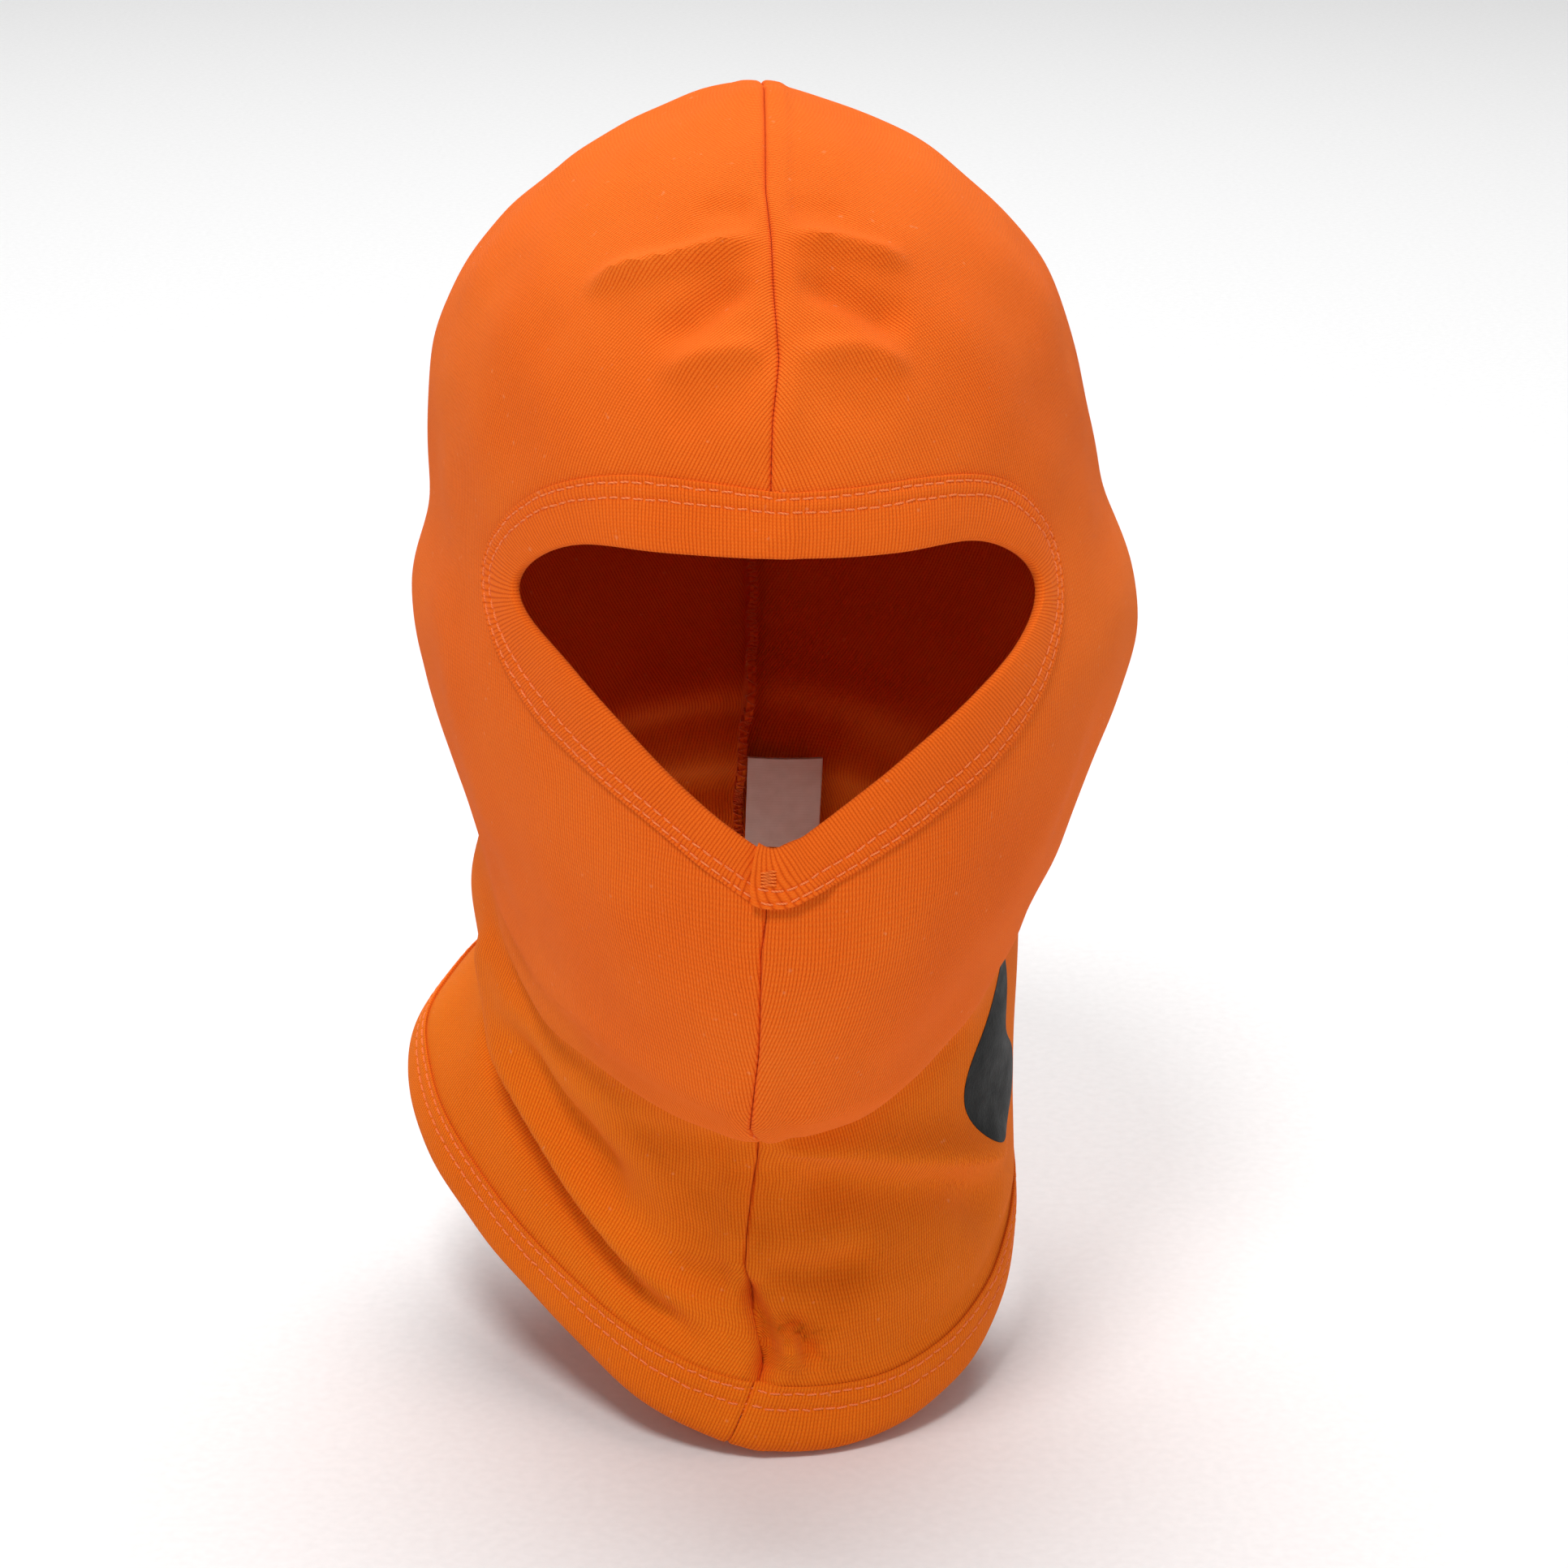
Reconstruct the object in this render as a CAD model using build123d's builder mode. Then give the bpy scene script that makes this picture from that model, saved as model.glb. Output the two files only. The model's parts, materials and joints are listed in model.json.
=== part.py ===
"""Knitted balaclava hood in its worn shape: two side panels, two folded bands and their seams.

Units are millimetres. X = 0 is the plane of the centre seam, the face looks along -Y and +Z is up.
The origin lies between the ears, which is where a head holds the hood.
"""

import os
from collections import namedtuple
from math import cos, hypot, pi, sin

from build123d import *

os.makedirs("parts", exist_ok=True)

# Cloth and thread
PLY = 1.0  # one thickness of interlock knit
BAND_PLY = 0.9  # one thickness of the folded rib strip
THREAD = 0.4  # height that a sewn thread stands proud
ROW_WIDTH = 0.7
SEAM_ALLOWANCE = 6.0  # depth of the turned-in edges along the centre seam
OVERLOCK_REACH = 3.5  # how much of the turned-in edges the overlock thread wraps
STRIP_GAP = 0.3  # gap between the two sewn ends of a band
TACK_THREAD = 0.6  # a bar tack stands higher than a row

# Bands, measured from their folded edge
FACE_BAND = 15.0
HEM_BAND = 16.0
PANEL_EDGE = 0.55  # where the panel's raw edge ends inside a band, as a share of its width
INNER_ROW = 0.69
OUTER_ROW = 0.90

# Rings of the worn shape, crown first. Each lies in a tilted plane that crosses the Z axis at height:
# slope is the plane's rise along +Y and roll its fall along +X. half is the half width, front and back
# are the reach along Y, middle is where the ring is widest, taper narrows its front, shift moves it
# along X, skew turns its front towards +X and fold draws its wearer's right side to a blunt corner.
Ring = namedtuple("Ring", "height slope roll half front back middle taper shift skew fold", defaults=[0])
RINGS = [
    Ring(146, 0.00, 0.00, 4, 2, 18, 10, 0.00, -1.0, 0),
    Ring(142, 0.00, 0.00, 15, -12, 34, 11, 0.00, -1.0, 0),
    Ring(132, 0.00, 0.00, 38.5, -38, 60, 11, 0.00, 0.0, 0),
    Ring(115, 0.00, 0.00, 61, -62, 82, 12, 0.00, 0.0, 0),
    Ring(91, 0.00, 0.00, 78, -82, 95, 14, 0.02, -0.5, 0),
    Ring(62, 0.00, 0.00, 85, -96, 102, 15, 0.05, 0.5, 0),
    Ring(38, 0.00, 0.00, 88, -101, 102, 14, 0.08, 4.0, 0),
    Ring(14, 0.02, 0.00, 94.5, -105, 95, 12, 0.12, 6.0, 0),
    Ring(-10, 0.08, 0.00, 91, -112, 86, 10, 0.16, 5.5, 0),
    Ring(-31, 0.16, 0.00, 84, -116, 78, 8, 0.20, 5.5, 0),
    Ring(-47, 0.24, 0.00, 78, -111, 73, 6, 0.24, 4.5, 0),
    Ring(-57, 0.30, 0.00, 74, -105, 71, 6, 0.25, 3.5, 0),
    Ring(-64, 0.32, 0.01, 72, -98, 71, 8, 0.22, 2.0, 0),
    Ring(-72, 0.33, 0.02, 72.5, -80, 73, 12, 0.12, 0.0, 0),
    Ring(-86, 0.35, 0.04, 73, -69, 77, 16, 0.02, -0.5, 2),
    Ring(-108, 0.38, 0.08, 71, -67, 84, 18, 0.00, 1.0, 5, 2),
    Ring(-133, 0.43, 0.12, 77, -70, 92, 20, 0.02, -4.0, 9, 6),
    Ring(-157.5, 0.46, 0.15, 80, -74.5, 100, 22, 0.05, -9.5, 11, 10),
    Ring(-175.5, 0.46, 0.15, 81, -75.5, 103, 22, 0.05, -10.5, 12, 11),
]
RING_POINTS = 24
RING_START = 0.27  # where each ring's outline begins, in turns from its front: over the left ear
HEM = RINGS[-2]

# Edges of the face band as seen from the front, as (x, z): from the point below the nose round by the
# wearer's right temple, the brow and the left temple
OPENING_EDGE = [(1.5, -16.5), (-12, -7.8), (-30, 6), (-51, 23.3), (-60.6, 32.5), (-50.5, 48.3), (-28, 53)]
OPENING_EDGE += [(4, 53.7), (34, 53.3), (54, 51), (67.8, 35), (57, 21.8), (30, 3), (12, -9.3)]
BAND_EDGE = [(1.5, -30.5), (-14, -20.6), (-34, -8.2), (-59.5, 9.5), (-68.8, 31), (-54, 61.8), (-28, 70.4)]
BAND_EDGE += [(4, 68.8), (34, 69.4), (56, 65), (73.9, 31), (60, 2.3), (33, -14.3), (14, -24)]
# Directions in which both edges leave that point and come back to it
POINT_TANGENTS = [(-0.82, 0.57), (-0.86, -0.52)]
CUT_DEPTH = 160

# Lap of the face band below the nose: its end on the wearer's left lies over the other, in x
LAP_FROM, LAP_TO = -3.0, 5.0
FACE_TACK = (-1.0, 2.5, -23.0, -19.0)  # bar tack across the lap: x from and to, z from and to
HEM_JOIN_WIDTH = 2.4

# Blank label folded double and caught in the back seam. It hangs from its sewn edge, whose upper end
# is LABEL_HINGE and which leans with the nape.
LABEL_WIDTH, LABEL_LENGTH = 22.0, 32.0
LABEL_PLY, LABEL_THICKNESS = 0.25, 0.9
LABEL_HINGE = Vector(0, 63.4, -50)
LABEL_AXIS = Vector(0, 0.36, -0.933)

# Printed flame on the wearer's left of the neck, seen from the side
MARK_Y, MARK_Z = -22.0, -101.0
MARK_HEIGHT = 52.0
MARK_THICKNESS = 0.25
# Outline of the flame from its tip round by the front, as shares of its height
FLAME = [(0.10, 0.50), (-0.16, 0.18), (-0.34, -0.12), (-0.25, -0.38), (0.00, -0.50)]
FLAME += [(0.26, -0.38), (0.32, -0.14), (0.15, 0.04), (0.17, 0.28), (0.10, 0.50)]


def profile_normals():
    """Outward normal of each ring in its side profile, as (outwards, upwards)."""
    normals = []
    for i, ring in enumerate(RINGS):
        before, after = RINGS[max(i - 1, 0)], RINGS[min(i + 1, len(RINGS) - 1)]
        run, drop = after.half - before.half, before.height - after.height
        length = hypot(run, drop)
        normals.append((drop / length, run / length) if ring.height > 0 else (1.0, 0.0))
    return normals


def ring_plane(ring, lift=0.0):
    return Plane(
        origin=(0, 0, ring.height + lift), x_dir=(1, 0, -ring.roll), z_dir=(ring.roll, -ring.slope, 1)
    )


def ring_outline(ring, plane, grow):
    """Points of a ring, each at its place over X and Y, written in the ring plane's own axes."""
    points = []
    for i in range(RING_POINTS):
        turn = 2 * pi * (i / RING_POINTS + RING_START)
        reach = ring.middle - ring.front if cos(turn) > 0 else ring.back - ring.middle
        x = ring.shift + (ring.half + grow) * sin(turn) * (1 - ring.taper * cos(turn))
        x += ring.skew * cos(turn)
        if sin(turn) < 0:
            x += ring.fold * sin(2 * turn) ** 2
        y = ring.middle - (reach + grow) * cos(turn)
        rise = plane.origin.Z + ring.slope * y - ring.roll * x
        points.append(plane.to_local_coords(Vector(x, y, rise)))
    return points


def worn_form(grow):
    """Solid bounded by the hood's outer surface moved outwards by grow."""
    with BuildPart() as form:
        for ring, (outwards, upwards) in reversed(list(zip(RINGS, profile_normals()))):
            plane = ring_plane(ring, grow * upwards)
            with BuildSketch(plane):
                with BuildLine():
                    points = ring_outline(ring, plane, grow * outwards)
                    add(Edge.make_spline(points, periodic=True, parameters=range(RING_POINTS + 1)))
                make_face()
        loft()
    return form.part


def band_zone(share):
    """Everything in front of the ears inside a line that lies a share of the way from the face
    opening's edge to the band's outer edge."""
    points = []
    for near, far in zip(OPENING_EDGE, BAND_EDGE):
        points.append(tuple(a + (b - a) * share for a, b in zip(near, far)))
    with BuildPart() as zone:
        with BuildSketch(Plane.XZ):
            with BuildLine():
                Spline(*points, points[0], tangents=POINT_TANGENTS)
            make_face()
        extrude(amount=CUT_DEPTH)
    return zone.part


def hem_zone(height):
    """Everything below the plane that lies height above the hem's folded edge."""
    with BuildPart() as zone:
        with BuildSketch(ring_plane(HEM, height)):
            Rectangle(400, 400)
        extrude(amount=-200)
    return zone.part


def hem_share(share):
    """Everything below a line that lies a share of the hem band's width above its folded edge."""
    return hem_zone(HEM_BAND * share)


def front_slice(x_from, x_to, z_from=-300, z_to=0):
    """Block in front of the ears and below the eyes between two values of X and of Z."""
    with BuildPart() as block:
        with BuildSketch(Plane.XZ):
            with Locations(((x_from + x_to) / 2, (z_from + z_to) / 2)):
                Rectangle(x_to - x_from, z_to - z_from)
        extrude(amount=CUT_DEPTH)
    return block.part


def one_side(part, keep):
    """Half of a part, on one side of the centre seam."""
    with BuildPart() as half:
        add(part)
        split(bisect_by=Plane.YZ, keep=keep)
    return half.part


def slab(half_width):
    """Vertical slice about the seam plane."""
    with BuildPart() as piece:
        Box(2 * half_width, 500, 600)
    return piece.part


def skin(outer, inner, inside, outside=None):
    """Layer of the worn shape between two of its surfaces, within one zone and beyond another."""
    with BuildPart() as piece:
        add(outer)
        add(inside, mode=Mode.INTERSECT)
        add(inner, mode=Mode.SUBTRACT)
        if outside is not None:
            add(outside, mode=Mode.SUBTRACT)
    return piece.part


def thread_row(cover, zone, share, width_share, join):
    """Raised line of stitches along a band, cut from the layer that covers the band. It stops at the
    join between the band's ends."""
    with BuildPart() as row:
        add(cover)
        add(zone(share + width_share / 2), mode=Mode.INTERSECT)
        add(zone(share - width_share / 2), mode=Mode.SUBTRACT)
        add(join, mode=Mode.SUBTRACT)
    return row.part


def save(part, name):
    part.label = name
    export_step(part, f"parts/{name}.step")


# Surfaces of the layers, by their distance from the panels' outer surface
panel_outer = worn_form(0)
panel_inner = worn_form(-PLY)
band_outer = worn_form(BAND_PLY)
band_inner = worn_form(-PLY - BAND_PLY)
thread_outer = worn_form(BAND_PLY + THREAD)
looper_inner = worn_form(-PLY - BAND_PLY - THREAD)
allowance_edge = worn_form(-PLY - SEAM_ALLOWANCE)
overlock_edge = worn_form(-PLY - SEAM_ALLOWANCE - THREAD)
overlock_limit = worn_form(-PLY - SEAM_ALLOWANCE + OVERLOCK_REACH)


# Panels: one shell cut back inside both bands, parted at the centre seam
with BuildPart() as shell:
    add(panel_outer)
    add(panel_inner, mode=Mode.SUBTRACT)
    add(band_zone(PANEL_EDGE), mode=Mode.SUBTRACT)
    add(hem_share(PANEL_EDGE), mode=Mode.SUBTRACT)

# The turned-in edges of the seam stop short of both bands
with BuildPart() as allowance:
    add(worn_form(-PLY / 2))
    add(slab(PLY), mode=Mode.INTERSECT)
    add(allowance_edge, mode=Mode.SUBTRACT)
    add(band_zone(1.03), mode=Mode.SUBTRACT)
    add(hem_share(1.03), mode=Mode.SUBTRACT)

for name, keep, side in (("right_side_panel", Keep.BOTTOM, -1), ("left_side_panel", Keep.TOP, 1)):
    with BuildPart() as turned_edge:
        add(allowance.part)
        with Locations((side * PLY, 0, 0)):
            Box(2 * PLY, 500, 600, mode=Mode.INTERSECT)
    with BuildPart() as panel:
        add(one_side(shell.part, keep))
        add(turned_edge.part)
    save(panel.part, name)

# Overlock thread round the seam's turned-in edges: one run over the crown, one down the throat
with BuildPart() as overlock:
    add(overlock_limit)
    add(slab(PLY + THREAD), mode=Mode.INTERSECT)
    add(overlock_edge, mode=Mode.SUBTRACT)
    add(band_zone(1.08), mode=Mode.SUBTRACT)
    add(hem_share(1.08), mode=Mode.SUBTRACT)
    add(allowance.part, mode=Mode.SUBTRACT)
runs = overlock.part.solids().sort_by(SortBy.VOLUME)
for name, run in (("throat_seam_overlock", runs[-2]), ("crown_seam_overlock", runs[-1])):
    with BuildPart() as piece:
        add(run)
    save(piece.part, name)

# Bands: a strip folded over the panels' raw edges, open at the centre front. The face band's end on
# the wearer's left laps over the other one.
ends_gap = front_slice(-STRIP_GAP / 2, STRIP_GAP / 2)
lap_slice = front_slice(LAP_FROM, LAP_TO)
lap_outer = worn_form(2 * BAND_PLY)
with BuildPart() as lap:
    add(skin(lap_outer, band_outer, band_zone(1), band_zone(0)))
    add(lap_slice, mode=Mode.INTERSECT)

for name, zone in (("face_band", band_zone), ("hem_band", hem_share)):
    with BuildPart() as band:
        add(skin(band_outer, band_inner, zone(1), zone(0)))
        add(skin(panel_outer, panel_inner, zone(1.01), zone(PANEL_EDGE)), mode=Mode.SUBTRACT)
        add(ends_gap, mode=Mode.SUBTRACT)
        if name == "face_band":
            add(lap.part)
    save(band.part, name)

# Twin rows of stitches outside each band and the looper thread that joins them inside
hem_join = front_slice(-HEM_JOIN_WIDTH / 2, HEM_JOIN_WIDTH / 2)
row_middle, row_spread = (INNER_ROW + OUTER_ROW) / 2, OUTER_ROW - INNER_ROW
for name, zone, width, join in (
    ("face", band_zone, FACE_BAND, lap_slice),
    ("hem", hem_share, HEM_BAND, hem_join),
):
    cover = skin(thread_outer, band_outer, zone(1), zone(INNER_ROW - 0.1))
    for place, share in (("inner", INNER_ROW), ("outer", OUTER_ROW)):
        row = thread_row(cover, zone, share, ROW_WIDTH / width, join)
        save(row, f"{name}_{place}_stitch_row")
    lining = skin(band_inner, looper_inner, zone(1), zone(INNER_ROW - 0.1))
    looper = thread_row(lining, zone, row_middle, row_spread + 1.2 / width, ends_gap)
    save(looper, f"{name}_looper_thread")

# Bar tack across the lap, and the short seam that closes the hem band
with BuildPart() as tack:
    add(worn_form(2 * BAND_PLY + TACK_THREAD))
    add(front_slice(*FACE_TACK), mode=Mode.INTERSECT)
    add(lap_outer, mode=Mode.SUBTRACT)
save(tack.part, "face_band_tack")

with BuildPart() as closing_seam:
    add(skin(thread_outer, band_outer, hem_share(0.95), hem_share(0.05)))
    add(front_slice(-HEM_JOIN_WIDTH / 2 + 0.2, HEM_JOIN_WIDTH / 2 - 0.2), mode=Mode.INTERSECT)
save(closing_seam.part, "hem_band_closing_seam")

# Label: a ribbon folded double, its two plies open at the sewn edge
label_plane = Plane(origin=LABEL_HINGE, x_dir=(1, 0, 0), z_dir=LABEL_AXIS)
with BuildPart() as label:
    with BuildSketch(label_plane):
        with Locations((LABEL_WIDTH / 2, 0)):
            SlotOverall(LABEL_WIDTH, LABEL_THICKNESS)
            SlotOverall(LABEL_WIDTH - 2 * LABEL_PLY, LABEL_THICKNESS - 2 * LABEL_PLY, mode=Mode.SUBTRACT)
        Rectangle(2 * LABEL_THICKNESS, LABEL_THICKNESS, mode=Mode.SUBTRACT)
    extrude(amount=LABEL_LENGTH)
save(label.part, "care_label")

# Printed mark: a plain flame
with BuildPart() as flame:
    with BuildSketch(Plane.YZ):
        with BuildLine():
            Spline([(MARK_Y + across * MARK_HEIGHT, MARK_Z + up * MARK_HEIGHT) for across, up in FLAME])
        make_face()
    extrude(amount=CUT_DEPTH)
save(skin(worn_form(MARK_THICKNESS), panel_outer, flame.part), "neck_mark")
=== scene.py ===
"""Looks of the knitted balaclava hood: two panels, folded bands, stitches, seams, label and print.

Everything is in metres in the CAD's own frame: X = 0 is the centre seam, the face looks along -Y and
+Z is up. The hood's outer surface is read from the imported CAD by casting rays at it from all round.
It is kept as a grid: one row per level from the hem to the crown, one column per angle round the head,
counted from the front towards +X. Folds are pressed into that grid, and every piece is built on it.
"""

import json

from functools import partial
from math import cos, pi, radians, sin

import bmesh
import bpy
import numpy as np
from mathutils import Matrix, Vector
from mathutils.bvhtree import BVHTree


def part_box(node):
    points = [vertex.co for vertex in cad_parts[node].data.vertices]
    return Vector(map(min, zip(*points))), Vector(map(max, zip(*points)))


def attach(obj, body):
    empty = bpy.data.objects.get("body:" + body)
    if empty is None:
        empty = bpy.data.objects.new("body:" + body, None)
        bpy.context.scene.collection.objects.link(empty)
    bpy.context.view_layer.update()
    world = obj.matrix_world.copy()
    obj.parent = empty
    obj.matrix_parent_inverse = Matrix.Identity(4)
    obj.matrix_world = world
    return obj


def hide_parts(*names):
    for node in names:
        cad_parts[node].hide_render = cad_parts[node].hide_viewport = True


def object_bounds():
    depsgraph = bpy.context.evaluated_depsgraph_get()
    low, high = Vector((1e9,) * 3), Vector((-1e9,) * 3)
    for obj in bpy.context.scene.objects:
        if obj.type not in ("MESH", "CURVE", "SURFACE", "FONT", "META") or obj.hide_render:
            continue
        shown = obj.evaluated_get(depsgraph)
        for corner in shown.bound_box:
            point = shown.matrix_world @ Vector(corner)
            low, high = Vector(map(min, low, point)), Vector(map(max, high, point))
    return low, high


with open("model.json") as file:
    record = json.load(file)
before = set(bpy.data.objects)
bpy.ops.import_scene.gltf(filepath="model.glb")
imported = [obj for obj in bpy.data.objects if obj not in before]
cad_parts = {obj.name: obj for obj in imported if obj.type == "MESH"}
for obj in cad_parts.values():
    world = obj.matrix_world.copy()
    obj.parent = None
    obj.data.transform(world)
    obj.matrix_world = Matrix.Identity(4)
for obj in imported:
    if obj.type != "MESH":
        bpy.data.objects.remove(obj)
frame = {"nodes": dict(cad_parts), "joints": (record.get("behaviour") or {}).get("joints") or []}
cad_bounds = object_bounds()
nodes = frame["nodes"]
MM = 0.001
rng = np.random.default_rng(7)
scene = bpy.context.scene

# The worn surface as a grid
ANGLES = 720  # columns of the grid
LEVEL_STEP = 0.75 * MM
FAN_LEVEL = 40 * MM  # above it the rays fan out over the crown from one point
FAN_RADIUS = 100 * MM  # a fan angle of one radian counts as this much level
POLE_LEVEL = FAN_LEVEL + FAN_RADIUS * pi / 2  # the crown, where the fan's rows close to a point
SPINE_Y = 10 * MM
REACH = 300 * MM  # rays start this far out
BAND_PLY = 0.9 * MM
LAP_HALF, LAP_BOTTOM = 13 * MM, -45 * MM  # the face band lies double inside these

# Tilt of the grid's rows: they drop towards the front below the ears, as the jaw and the hem do
ROW_LEVELS = np.array([-157.5, -133, -108, -86, -64, -47, -31, -10, 14, 38]) * MM
ROW_SLOPES = np.array([0.46, 0.43, 0.38, 0.35, 0.32, 0.24, 0.16, 0.08, 0.02, 0.0])
ROW_ROLLS = np.array([0.15, 0.12, 0.08, 0.04, 0.01, 0.0, 0.0, 0.0, 0.0, 0.0])
HEM_LEVEL = ROW_LEVELS[0]
HEM_WIDTH = 16 * MM


def unit(v):
    return v / np.maximum(np.linalg.norm(v, axis=-1, keepdims=True), 1e-12)


def smoothstep(a, b, x):
    t = np.clip((x - a) / (b - a), 0, 1)
    return t * t * (3 - 2 * t)


def evened(values, half, mode="wrap"):
    """Running mean over half places to each side; the values close in a ring unless mode is "edge"."""
    count = 2 * half + 1
    return np.convolve(np.pad(values, half, mode=mode), np.ones(count) / count, "valid")


def lengths(points):
    """Distance along a line of points from its start to each of them."""
    return np.concatenate([[0], np.cumsum(np.linalg.norm(np.diff(points, axis=0), axis=1))])


def rays(levels, angles):
    """Start and direction of the ray for each pair of a level and an angle."""
    levels, angles = np.broadcast_arrays(levels, angles)
    fan = np.maximum(levels - FAN_LEVEL, 0) / FAN_RADIUS
    slope = np.interp(levels, ROW_LEVELS, ROW_SLOPES)
    roll = np.interp(levels, ROW_LEVELS, ROW_ROLLS)
    x, y = np.cos(fan) * np.sin(angles), -np.cos(fan) * np.cos(angles)
    direction = unit(np.stack([x, y, np.sin(fan) + slope * y - roll * x], axis=-1))
    height = np.minimum(levels, FAN_LEVEL) + slope * SPINE_Y
    start = np.stack([0 * height, SPINE_Y + 0 * height, height], axis=-1)
    return start, direction


def tree_of_nodes(*names):
    """BVH tree of some CAD nodes, and for each of its faces the index of its node in names."""
    points, faces, owner = [], [], []
    for k, name in enumerate(names):
        mesh = nodes[name].data
        first = len(points)
        points += [v.co.copy() for v in mesh.vertices]
        faces += [[first + i for i in p.vertices] for p in mesh.polygons]
        owner += [k] * len(mesh.polygons)
    return BVHTree.FromPolygons(points, faces), np.array(owner)


def read_distances(levels, angles):
    """How far the panels' outer surface is from the spine along each ray; NaN where the hood is open
    or the band lies double."""
    tree, owner = tree_of_nodes("right_side_panel", "left_side_panel", "face_band", "hem_band")
    start, direction = rays(levels[:, None], angles[None, :])
    outside = start + direction * REACH
    found = np.full(direction.shape[:2], np.nan)
    for i in range(len(levels)):
        for j in range(len(angles)):
            hit, normal, face, gone = tree.ray_cast(Vector(outside[i, j]), Vector(-direction[i, j]), REACH)
            if hit is None:
                continue
            on_band = owner[face] >= 2
            if owner[face] == 2 and abs(hit.x) < LAP_HALF and hit.y < 0 and LAP_BOTTOM < hit.z < 0:
                continue
            facing = max(0.4, abs(normal.dot(Vector(direction[i, j]))))
            found[i, j] = REACH - gone - on_band * BAND_PLY / facing
    return found


def filled(grid):
    """The grid with its missing values relaxed to a smooth sheet between their neighbours."""
    first, last = np.flatnonzero(np.isfinite(grid).any(axis=1))[[0, -1]]
    grid = grid.copy()
    missing = ~np.isfinite(grid)
    columns = np.arange(grid.shape[1])
    for i in range(first, last + 1):
        known = ~missing[i]
        grid[i] = np.interp(columns, columns[known], grid[i, known], period=grid.shape[1])
    for i in range(first - 1, -1, -1):
        grid[i] = 2 * grid[i + 1] - grid[i + 2]
    hole = missing.copy()
    hole[:first] = False
    for _ in range(500):
        around = np.roll(grid, 1, 1) + np.roll(grid, -1, 1)
        around += np.vstack([grid[:1], grid[:-1]]) + np.vstack([grid[1:], grid[-1:]])
        grid[hole] = around[hole] / 4
    return grid


def blurred(grid, sigma_rows, sigma_columns):
    """Gaussian blur, periodic round the head."""
    for axis, sigma in ((0, sigma_rows), (1, sigma_columns)):
        if sigma <= 0:
            continue
        half = int(3 * sigma) + 1
        kernel = np.exp(-0.5 * (np.arange(-half, half + 1) / sigma) ** 2)
        kernel /= kernel.sum()
        pad = [(half, half) if a == axis else (0, 0) for a in range(grid.ndim)]
        wide = np.pad(grid, pad, mode="wrap" if axis == 1 else "reflect")
        grid = sum(
            k * np.take(wide, np.arange(n, n + grid.shape[axis]), axis=axis) for n, k in enumerate(kernel)
        )
    return grid


def normals_of(points):
    """Outward unit normals of the grid."""
    along = np.roll(points, -1, 1) - np.roll(points, 1, 1)
    up = np.gradient(points, axis=0)
    return unit(np.cross(along, up))


levels = np.arange(HEM_LEVEL - 4 * LEVEL_STEP, POLE_LEVEL + LEVEL_STEP, LEVEL_STEP)
angles = np.arange(ANGLES) * 2 * pi / ANGLES
distances = blurred(filled(read_distances(levels, angles)), 2.5, 3)
# How far the folded hem, which is stiffer, keeps the cloth of each level smooth
stiff = smoothstep(HEM_LEVEL + 26 * MM, HEM_LEVEL + 8 * MM, levels)[:, None]
distances += stiff * (blurred(distances, 0, 12) - distances)
starts, directions = rays(levels[:, None], angles[None, :])
base = starts + directions * distances[..., None]
base_normals = normals_of(base)


def sample(grid, level, angle):
    """Values of a grid at any levels and angles, in straight steps between its points."""
    level, angle = np.broadcast_arrays(level, angle)
    row = np.clip((level - levels[0]) / LEVEL_STEP, 0, len(levels) - 1.001)
    column = np.mod(angle, 2 * pi) / (2 * pi) * ANGLES
    i, j = row.astype(int), column.astype(int)
    up, across = (row - i)[..., None], (column - j)[..., None]
    j, beside = j % ANGLES, (j + 1) % ANGLES
    low = grid[i, j] * (1 - across) + grid[i, beside] * across
    high = grid[i + 1, j] * (1 - across) + grid[i + 1, beside] * across
    return low * (1 - up) + high * up


# ==== folds
relief = np.zeros(base.shape[:2])


def fold(height, left, right, *points, taper=0.3):
    """Presses a ridge, or with a negative height a hollow, into the surface along a line.

    The points are angles in degrees and levels in millimetres, and height, left and right are
    millimetres: left and right are its reach to either side, as seen from outside walking along it.
    """
    steps = np.linspace(0, len(points) - 1, 40 * (len(points) - 1) + 1)
    line = np.array([[np.interp(steps, range(len(points)), [p[k] for p in points])] for k in (0, 1)])[:, 0]
    line = np.array([evened(part, 10, "edge") for part in line])
    angle, level = np.radians(line[0]), line[1] * MM
    path = sample(base, level, angle)
    along = unit(np.gradient(path, axis=0))
    side = np.cross(sample(base_normals, level, angle), along)
    share = np.linspace(0, 1, len(path))
    strength = height * MM * smoothstep(0, taper, share) * smoothstep(0, taper, 1 - share)
    reach = 3 * MM * max(left, right)
    near = np.all((base > path.min(axis=0) - reach) & (base < path.max(axis=0) + reach), axis=-1)
    spots = base[near]
    parts = np.array_split(spots, 1 + len(spots) // 20000)
    gaps = (((part[:, None] - path[None]) ** 2).sum(axis=-1) for part in parts)
    closest = np.concatenate([gap.argmin(axis=1) for gap in gaps])
    away = spots - path[closest]
    sideways = (away * side[closest]).sum(axis=1)
    width = np.where(sideways > 0, left, right) * MM
    relief[near] += strength[closest] * np.exp(-(away**2).sum(axis=1) / width**2)


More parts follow.
